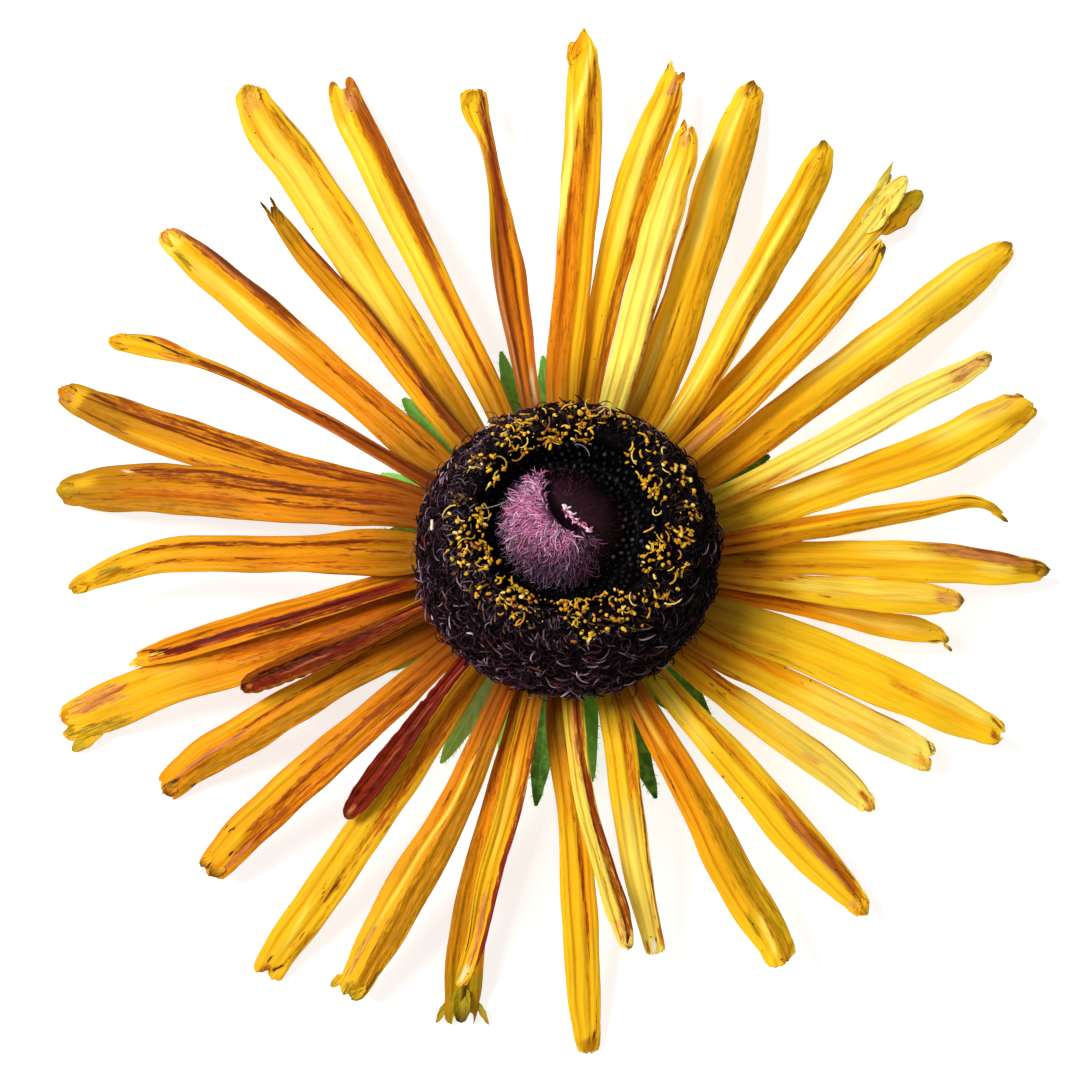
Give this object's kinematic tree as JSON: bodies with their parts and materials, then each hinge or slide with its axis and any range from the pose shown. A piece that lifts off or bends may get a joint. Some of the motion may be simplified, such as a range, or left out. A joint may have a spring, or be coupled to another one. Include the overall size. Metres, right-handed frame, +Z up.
{
  "type": "black eyed susan flower",
  "caption": "Cut flower head with long narrow drooping petals round a dark domed centre, green bracts beneath and a short stem stub, lying face up.",
  "frame": {"origin": "middle of the flower's outline seen from above, on the surface that it lies on", "axes": "+Z up out of the flower's face, +Y towards the longer petals at the top of the face, +X to the right of the face"},
  "size_m": [0.0708, 0.074, 0.0189],
  "materials": {
    "ray_floret": "satin",
    "bract": "satin",
    "receptacle": "matte",
    "spent_florets": "matte",
    "pollen_florets": "matte",
    "bud_florets": "satin",
    "centre": "matte"
  },
  "bodies": {
    "root": {"ray_01": "ray_floret", "ray_02": "ray_floret", "ray_03": "ray_floret", "ray_04": "ray_floret", "ray_05": "ray_floret", "ray_06": "ray_floret", "ray_07": "ray_floret", "ray_08": "ray_floret", "ray_09": "ray_floret", "ray_10": "ray_floret", "ray_11": "ray_floret", "ray_12": "ray_floret", "ray_13": "ray_floret", "ray_14": "ray_floret", "ray_15": "ray_floret", "ray_16": "ray_floret", "ray_17": "ray_floret", "ray_18": "ray_floret", "ray_19": "ray_floret", "ray_20": "ray_floret", "ray_21": "ray_floret", "ray_22": "ray_floret", "ray_23": "ray_floret", "ray_24": "ray_floret", "ray_25": "ray_floret", "ray_26": "ray_floret", "ray_27": "ray_floret", "ray_28": "ray_floret", "ray_29": "ray_floret", "ray_30": "ray_floret", "ray_31": "ray_floret", "ray_32": "ray_floret", "ray_33": "ray_floret", "ray_34": "ray_floret", "ray_35": "ray_floret", "ray_36": "ray_floret", "ray_37": "ray_floret", "ray_38": "ray_floret", "ray_39": "ray_floret", "ray_40": "ray_floret", "ray_41": "ray_floret", "bract_01": "bract", "bract_02": "bract", "bract_03": "bract", "bract_04": "bract", "bract_05": "bract", "bract_06": "bract", "bract_07": "bract", "bract_08": "bract", "bract_09": "bract", "bract_10": "bract", "bract_11": "bract", "bract_12": "bract", "bract_13": "bract", "bract_14": "bract", "receptacle_and_stem_stub": "receptacle", "spent_floret_ring": "spent_florets", "pollen_floret_ring": "pollen_florets", "bud_floret_ring": "bud_florets", "centre_tuft": "centre"}
  },
  "joints": []
}
